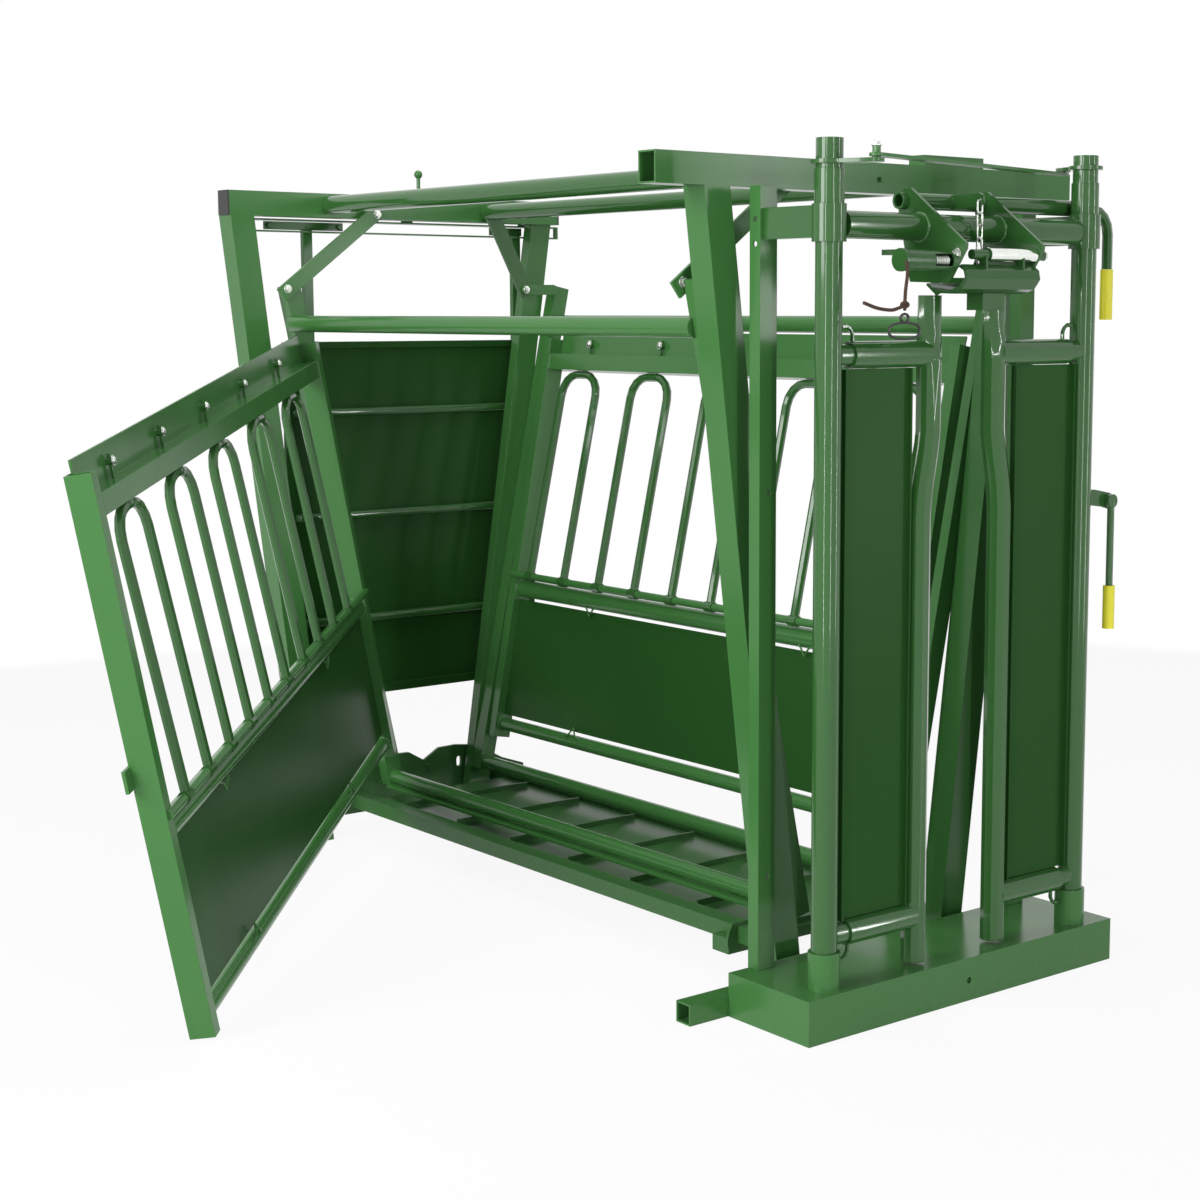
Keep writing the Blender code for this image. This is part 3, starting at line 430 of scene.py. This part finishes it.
def enamel(name, colour, deep, rough, drift=0.3, edge=0.14, dust=0.05, coat=0.0, shine=0.35):
    """Gloss enamel on steel, its edges drawn round."""
    made, tree, shader = blank_material(name)
    surface = tree.nodes.new("ShaderNodeGroup")
    surface.node_tree = ENAMEL
    # Edge colour: a paler copy of the enamel, for painted highlight with rub marks on the edges.
    highlit_and_rubbed_edge = tuple(min(c * 1.5 + 0.03, 1.0) for c in colour) + (1.0,)
    for label, value in (("Colour", (*colour, 1.0)), ("Deep", (*deep, 1.0)), ("Edge", highlit_and_rubbed_edge),
                         ("Drift", drift), ("Edge Amount", edge), ("Dust Amount", dust)):
        surface.inputs[label].default_value = value
    tree.links.new(surface.outputs["Colour"], shader.inputs["Base Color"])
    tree.links.new(reckoned(tree, "MULTIPLY", surface.outputs["Roughness"], rough),
                   shader.inputs["Roughness"])
    bumped(tree, shader, surface.outputs["Height"], 0.03, 0.0006, bevelled(tree, 0.0018, 6))
    shader.inputs["Specular IOR Level"].default_value = shine
    shader.inputs["Coat Weight"].default_value = coat
    shader.inputs["Coat Roughness"].default_value = 0.04
    return made


def plated(name, colour, rough, spots=0.62):
    """Bright metal with a fine grain and blotches of its colour times spots."""
    made, tree, shader = blank_material(name)
    place = object_place(tree)
    blotch = ranged(tree, noise(tree, 60.0, 4.0, place), 0.35, 0.7, 0.0, 1.0)
    darker = tuple(c * spots for c in colour) + (1.0,)
    tree.links.new(blended(tree, blotch, (*colour, 1.0), darker), shader.inputs["Base Color"])
    grain = noise(tree, 900.0, 2.0, place)
    tree.links.new(ranged(tree, grain, 0.3, 0.7, rough * 0.8, rough * 1.25),
                   shader.inputs["Roughness"])
    shader.inputs["Metallic"].default_value = 1.0
    bumped(tree, shader, grain, 0.08, 0.0004)
    return made


def moulded(name, colour, rough, speckle, relief):
    """Dipped or moulded plastic: fine pitted skin, worn a little paler in patches."""
    made, tree, shader = blank_material(name)
    place = object_place(tree)
    patch = ranged(tree, noise(tree, 18.0, 3.0, place), 0.4, 0.75, 0.0, 0.35)
    # Dipped or moulded plastic: fine pitted skin, rubbed a little paler in patches.
    paler = tuple(min(c * 0.82 + 0.02, 1.0) for c in colour) + (1.0,)
    tree.links.new(blended(tree, patch, (*colour, 1.0), paler), shader.inputs["Base Color"])
    pits = noise(tree, speckle, 3.0, place)
    tree.links.new(ranged(tree, pits, 0.3, 0.7, rough * 0.85, rough * 1.15),
                   shader.inputs["Roughness"])
    bumped(tree, shader, pits, relief, 0.0005)
    return made


def rope_fibre(name):
    """Dark tarred rope: brown yarn with pale fibre ends along it."""
    made, tree, shader = blank_material(name)
    yarn = noise(tree, 1400.0, 4.0, object_place(tree))
    fibre = ranged(tree, yarn, 0.4, 0.7, 0.0, 1.0)
    tree.links.new(blended(tree, fibre, (0.03, 0.014, 0.008, 1.0), (0.11, 0.06, 0.04, 1.0)),
                   shader.inputs["Base Color"])
    tree.links.new(ranged(tree, yarn, 0.3, 0.7, 0.75, 0.95), shader.inputs["Roughness"])
    bumped(tree, shader, yarn, 0.4, 0.0006)
    return made


GREEN = (0.058, 0.195, 0.05)
DEEP = (0.04, 0.15, 0.035)
# Painted shade: the tubes wear the frame's enamel, darkened in colour so their glossy sides read as
# dark as shade.
DARKENED_TUBE_GREEN = enamel("darkened_tube_enamel", (0.038, 0.134, 0.032), (0.026, 0.1, 0.022), 0.11,
                    coat=0.3, shine=0.32)
FRAME_GREEN = enamel("frame_enamel", GREEN, DEEP, 0.2, shine=0.3)
# Painted shade: the sheet panels wear the frame's enamel, made much darker to stand in for the
# shade on them.
SHADED_SHEET_GREEN = enamel("shaded_sheet_enamel", (0.024, 0.094, 0.02), (0.016, 0.068, 0.013), 0.3,
                     drift=0.5, edge=0.1, shine=0.05)
DARK_GREEN = enamel("latch_enamel", (0.034, 0.118, 0.03), (0.022, 0.084, 0.019), 0.16,
                    coat=0.15, shine=0.25)
FLOOR_GREEN = enamel("floor_enamel", (0.045, 0.15, 0.04), (0.03, 0.11, 0.027), 0.3,
                     edge=0.3, dust=0.15, shine=0.25)
WELD_GREEN = enamel("weld_enamel", (0.07, 0.215, 0.06), DEEP, 0.14, coat=0.3, edge=0.0)
ZINC = plated("zinc_plate", (0.62, 0.66, 0.6), 0.3)
STEEL = plated("roller_steel", (0.86, 0.89, 0.84), 0.1, 0.92)
YELLOW = moulded("yellow_grip", (0.86, 0.8, 0.035), 0.38, 300.0, 0.08)
BLACK = moulded("black_plastic", (0.012, 0.014, 0.012), 0.42, 500.0, 0.12)
ROPE = rope_fibre("dark_rope")

NODE_FINISH = {
    FRAME_GREEN: ("base_box", "left_channel", "right_channel", "front_hoop", "rear_hoop",
                  "gate_track", "near_side_frame", "far_side_frame", "near_brace_rear",
                  "near_brace_front", "near_gate_frame", "far_gate_frame", "tail_trolley_near",
                  "tail_trolley_far", "link_strap", "stub_tube", "squeeze_link_rear",
                  "squeeze_link_front"),
    DARKENED_TUBE_GREEN: ("header_frame", "top_tube", "left_post", "right_post", "left_neck",
                 "right_neck", "squeeze_shaft", "release_shaft", "hand_lever", "tail_handle")
    + tuple(f"{side}_drop_bar_{k}" for side in ("near", "far") for k in range(1, 6)),
    SHADED_SHEET_GREEN: ("near_gate_panel", "far_gate_panel", "tail_panel", "left_panel",
                  "right_panel"),
    DARK_GREEN: ("latch_pan", "plunger_housing", "plunger"),
    FLOOR_GREEN: ("floor_frame", "floor_sheet"),
    YELLOW: ("release_grip", "hand_grip"),
    BLACK: ("near_tube_cap", "far_tube_cap", "tail_knob", "pull_ring"),
    ZINC: ("latch_chain", "latch_spring"),
    ROPE: ("pull_rope",),
}


def dress_nodes():
    """Each CAD node takes its finish; its triangles are welded and shaded smooth round tubes."""
    for finish, names in NODE_FINISH.items():
        for name in names:
            obj = NODES[name]
            mesh = obj.data
            for k in range(len(mesh.materials)):
                mesh.materials[k] = finish
            if "custom_normal" in mesh.attributes:
                mesh.attributes.remove(mesh.attributes["custom_normal"])
            mesh.polygons.foreach_set("use_smooth", np.ones(len(mesh.polygons), bool))
            weld = obj.modifiers.new("weld", "WELD")
            weld.merge_threshold = 0.00002
            split = obj.modifiers.new("edges", "EDGE_SPLIT")
            split.split_angle = math.radians(35)


dress_nodes()


# The latch's pull rope, spring and chain

def laid_rope(path, radius, lay=0.02, sides=30):
    """Laid rope: a tube whose section is three bulges, R (0.8 + 0.2 |cos 1.5 (a - turn)|), and
    the section turns once about the path for each length of lay."""
    path = np.asarray(path, float)
    points, faces = tube(path, radius, sides)
    around = np.arange(sides)[None, :] * 2 * np.pi / sides
    a = around - (run_along(path) * 2 * np.pi / lay)[:, None]
    bulge = 0.8 + 0.2 * np.abs(np.cos(1.5 * a))
    centre = np.repeat(path, sides, axis=0)
    return centre + (points - centre) * bulge.reshape(-1, 1), faces


def rope_pieces():
    """The pull rope falls from the plunger's disc to a knot, from which its tail hangs aside.
    The knot is a trefoil: x = sin t + 2 sin 2t, y = -1.1 sin 3t, z = cos t - 2 cos 2t."""
    fall = curve_through([spot(*p) for p in ROPE_FALL], 40)
    tail = curve_through([spot(*p) for p in ROPE_TAIL], 36)
    r = ROPE_RADIUS
    t = circle(150)
    loops = np.stack([np.sin(t) + 2 * np.sin(2 * t), -1.1 * np.sin(3 * t),
                      np.cos(t) - 2 * np.cos(2 * t)], 1) * 0.0027 + spot(*ROPE_KNOT)
    knot = add_piece("rope_knot", tube(loops, r * 0.95, 18, closed=True), ROPE, "plunger",
                     60)
    end = add_piece("rope_tail", laid_rope(tail, r), ROPE, "plunger", 60)
    rope = add_piece("laid_pull_rope", laid_rope(fall, r), ROPE, "plunger", 60)
    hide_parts("pull_rope")


def wound_spring():
    """Compression spring: a round wire along a helix of even pitch about the plunger's axis."""
    a = np.linspace(0, 2 * np.pi * SPRING_TURNS, SPRING_TURNS * 40)
    path = spot(SPRING_START + SPRING_LENGTH * a / a[-1], PLUNGER_Y + SPRING_RADIUS * np.cos(a),
                PLUNGER_Z + SPRING_RADIUS * np.sin(a))
    spring = add_piece("wound_latch_spring", tube(path, SPRING_WIRE, 12), ZINC, "plunger",
                       60)
    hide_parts("latch_spring")


def linked_chain():
    """Five oval links, each a round rod round a loop 7.5 cos a wide and
    7.5 sin a + 8.5 tanh(6 sin a) high, every other one turned a quarter, with the weld's
    swell on one straight."""
    links = []
    a = circle(49)
    rise = 7.5 * np.sin(a) + 8.5 * np.tanh(np.sin(a) * 6)
    swell = 1 + 0.2 * np.exp(-(((a + 0.13) % (2 * np.pi) - np.pi) / 0.12) ** 2)
    for k in range(CHAIN_LINKS):
        centre = np.array([CHAIN_X, CHAIN_Y, CHAIN_TOP - 16 - CHAIN_PITCH * k])
        across = np.array([0, 1.0, 0]) if k % 2 else np.array([1.0, 0, 0])
        path = centre + 7.5 * np.cos(a)[:, None] * across + rise[:, None] * np.array([0, 0, 1.0])
        links.append(tube(spot(*path.T), CHAIN_WIRE * swell, 14, closed=True))
    chain = add_piece("linked_latch_chain", join(*links), ZINC, "latch_chain", 60)
    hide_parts("latch_chain")


rope_pieces()
wound_spring()
linked_chain()


# Ribs, bolts and welds

def tail_ribs():
    """Rolled ribs across the tail gate's sheet: along each flat stiffener a ridge whose section
    is 12.5 cos a high and 9.5 (sin a)^0.8 deep, closed behind, its ends drawn down."""
    ribs = []
    across = np.linspace(-RIB_REACH, RIB_REACH, 90)
    turn = np.linspace(0, np.pi, 15)
    ends = np.clip((RIB_REACH - np.abs(across)) / RIB_END, 0.02, 1.0)[:, None] ** 0.5
    rise = np.concatenate([RIB_HALF * np.cos(turn), [-RIB_HALF * 0.98, RIB_HALF * 0.98]])
    depth = np.concatenate([-RIB_DEPTH * np.sin(turn) ** 0.8 - 0.3, [0.6, 0.6]])
    n = len(rise)
    for z in RIB_HEIGHTS:
        points = spot(across[:, None], RIB_PLANE_Y + depth[None] * ends,
                      z + rise[None] * (0.6 + 0.4 * ends)).reshape(-1, 3)
        faces = [tuple(f[::-1]) for f in grid_faces(len(across), n)]
        faces += [tuple(range(n)), tuple(range(len(points) - n, len(points)))[::-1]]
        ribs.append((points, faces))
    add_piece("tail_gate_ribs", join(*ribs), DARKENED_TUBE_GREEN, "tail_gate", 50)


def link_bolts():
    """The squeeze links' pins have a nut on the side towards the headgate."""
    heads = []
    for node in ("squeeze_link_front", "squeeze_link_rear"):
        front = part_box(node)[0][1] + 0.0002
        heads.append(hex_bolt((LINK_PIN_X, front, LINK_PIN_Z), (0, -1, 0), 0.011, stub=0.004))
    add_piece("link_nuts", join(*heads), ZINC, "squeeze_links")


def gate_place(side, w, y, s):
    """Places on a side gate: w out from its plane, y along the crush when shut, s up its face.
    The near gate is turned open about its hinge line first."""
    w, y, s = np.broadcast_arrays(*(np.asarray(v, float) for v in (w, y, s)))
    if side < 0:
        c, k = math.cos(NEAR_OPEN), math.sin(NEAR_OPEN)
        dw, dy = w - GATE_AXIS_OUT, y - GATE_AXIS_Y
        w, y = GATE_AXIS_OUT + dw * c - dy * k, GATE_AXIS_Y + dw * k + dy * c
    x = side * (GATE_HINGE_X + w * math.cos(GATE_LEAN) + s * math.sin(GATE_LEAN))
    return spot(x, y, GATE_FOOT_Z - w * math.sin(GATE_LEAN) + s * math.cos(GATE_LEAN))


def gate_fittings(side, name, length, bars):
    """Each bar's latch key has its bolt, and the gate's tubes are welded to its uprights.
    The bars are given as the first one's place from the hinge and the pitch of their legs."""
    body = name + "_gate"
    inward = unit(gate_place(side, -1, 2000, KEY_S) - gate_place(side, 0, 2000, KEY_S))
    bolts = []
    for k in range(5):
        y = GATE_HINGE_Y - bars[0] - bars[1] * (2 * k + 0.5)
        bolts.append(dome_bolt(gate_place(side, KEY_W, y, KEY_S), inward, 0.0085))
    add_piece(name + "_key_bolts", join(*bolts), ZINC, body)
    welds = []
    a = circle(90)
    for y in (GATE_HINGE_Y - length + UPRIGHT_WIDTH + BEAD_OUT,
              GATE_HINGE_Y - UPRIGHT_WIDTH - BEAD_OUT):
        for s, r in ROUND_JOINTS:
            ring = gate_place(side, r * np.cos(a), y, s + r * np.sin(a))
            welds.append(bead(ring, GATE_BEAD, seed=s))
        for w in (-TOP_RAIL_W, TOP_RAIL_W):
            line = gate_place(side, w, y, np.linspace(*TOP_RAIL_S, 26))
            welds.append(bead(line, GATE_BEAD, seed=w))
    add_piece(name + "_gate_welds", join(*welds), WELD_GREEN, body, 60)


def latch_fittings():
    """Nuts at the ends of the roller's axle, bolts in the strap's pins, the roller's bright
    sleeve, and weld beads round the header tube at both faces of each cheek plate."""
    nuts = join(hex_bolt(spot(CHEEK_LEFT - 4.2, *ROLLER_AXLE), (-1, 0, 0), 0.012, stub=0.006),
                hex_bolt(spot(137.2, *ROLLER_AXLE), (1, 0, 0), 0.011))
    add_piece("roller_nuts", nuts, ZINC, "latch_pan")
    pins = [hex_bolt(spot(*pin), (0, 0, 1), 0.011, stub=0.004) for pin in STRAP_PINS]
    add_piece("strap_bolts", join(*pins), ZINC, "link_strap")
    roll = turned(np.array(ROLLER_PROFILE) * 0.001, spot(ROLLER_START, *ROLLER_AXLE),
                  (1, 0, 0), 48)
    add_piece("bright_roller", roll, STEEL, "latch_pan", 40)
    a = circle(100)
    rings = [bead(spot(x, HEADER_Y + 30.6 * np.cos(a), HEADER_Z + 30.6 * np.sin(a)),
                  HEADER_BEAD, seed=x)
             for cheek in (CHEEK_LEFT, CHEEK_RIGHT) for x in (cheek - 5.5, cheek + 5.5)]
    add_piece("header_welds", join(*rings), WELD_GREEN, "frame", 60)


def brace_bolts():
    """Each flat brace is bolted at its ear and at the far end, the heads towards the headgate.
    An end is a share of the brace's box, and how far above that its bolt sits."""
    heads = []
    for node in ("near_brace_front", "near_brace_rear"):
        low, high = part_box(node)
        for share, lift in BRACE_ENDS:
            x = low[0] + (high[0] - low[0]) * share
            z = low[2] + (high[2] - low[2]) * share
            heads.append(hex_bolt((x, low[1], z + lift), (0, -1, 0), 0.012))
    add_piece("brace_bolts", join(*heads), ZINC, "frame")


tail_ribs()
link_bolts()
gate_fittings(-1, "near", NEAR_LENGTH, NEAR_BARS)
gate_fittings(1, "far", FAR_LENGTH, FAR_BARS)
latch_fittings()
brace_bolts()


# Floor, backdrop and light

def ray_mask(tree, *kinds):
    """1 for rays of the given kinds, else 0."""
    seen = tree.nodes.new("ShaderNodeLightPath")
    mask = seen.outputs[kinds[0]]
    for kind in kinds[1:]:
        mask = reckoned(tree, "MAXIMUM", mask, seen.outputs[kind])
    return mask


def studio_floor():
    """A wide white floor that keeps a faint shadow near the crush. Camera and glossy rays see
    it glow by FLOOR_GLOW, rising to full between 2.2 and 5 m away, so it fades to white."""
    made, tree, shader = blank_material("white_floor")
    shader.inputs["Base Color"].default_value = (0.9, 0.9, 0.9, 1.0)
    shader.inputs["Roughness"].default_value = 0.9
    shader.inputs["Specular IOR Level"].default_value = 0.1
    seen = ray_mask(tree, "Is Camera Ray", "Is Glossy Ray")
    reach = tree.nodes.new("ShaderNodeVectorMath")
    reach.operation = "DISTANCE"
    tree.links.new(object_place(tree), reach.inputs[0])
    reach.inputs[1].default_value = (0.0, 1.0, 0.0)
    far = ranged(tree, reach.outputs["Value"], 2.2, 5.0, 0.0, 1.0)
    share = reckoned(tree, "MAXIMUM", reckoned(tree, "MULTIPLY", seen, FLOOR_GLOW),
                     reckoned(tree, "MULTIPLY", far, seen))
    mix = tree.nodes.new("ShaderNodeMixShader")
    tree.links.new(share, mix.inputs[0])
    tree.links.new(shader.outputs[0], mix.inputs[1])
    tree.links.new(tree.nodes.new("ShaderNodeEmission").outputs[0], mix.inputs[2])
    tree.links.new(mix.outputs[0], tree.nodes["Material Output"].inputs["Surface"])
    mesh = bpy.data.meshes.new("studio_floor")
    corners = ((-1, -1), (1, -1), (1, 1), (-1, 1))
    mesh.from_pydata([(x * FLOOR_HALF, y * FLOOR_HALF, -FLOOR_DROP) for x, y in corners],
                     [], [(0, 1, 2, 3)])
    mesh.materials.append(made)
    floor = bpy.data.objects.new("studio_floor", mesh)
    bpy.context.scene.collection.objects.link(floor)


def studio_light():
    """A world that is white to look at but lights the scene by WORLD_LIGHT, and soft boxes."""
    world = bpy.data.worlds.new("studio_world")
    bpy.context.scene.world = world
    world.use_nodes = True
    tree = world.node_tree
    sky = tree.nodes["Background"]
    sky.inputs["Color"].default_value = (1.0, 1.0, 1.0, 1.0)
    seen = ray_mask(tree, "Is Camera Ray", "Is Glossy Ray", "Is Transmission Ray")
    tree.links.new(ranged(tree, seen, 0.0, 1.0, WORLD_LIGHT, 1.0), sky.inputs["Strength"])
    for name, place, aim, width, height, power in SOFT_BOXES:
        data = bpy.data.lights.new(name, "AREA")
        data.shape = "RECTANGLE"
        data.size = width
        data.size_y = height
        data.energy = power
        lamp = bpy.data.objects.new(name, data)
        lamp.location = place
        lamp.rotation_euler = (Vector(aim) - Vector(place)).to_track_quat("-Z", "Y").to_euler()
        bpy.context.scene.collection.objects.link(lamp)


studio_floor()
studio_light()
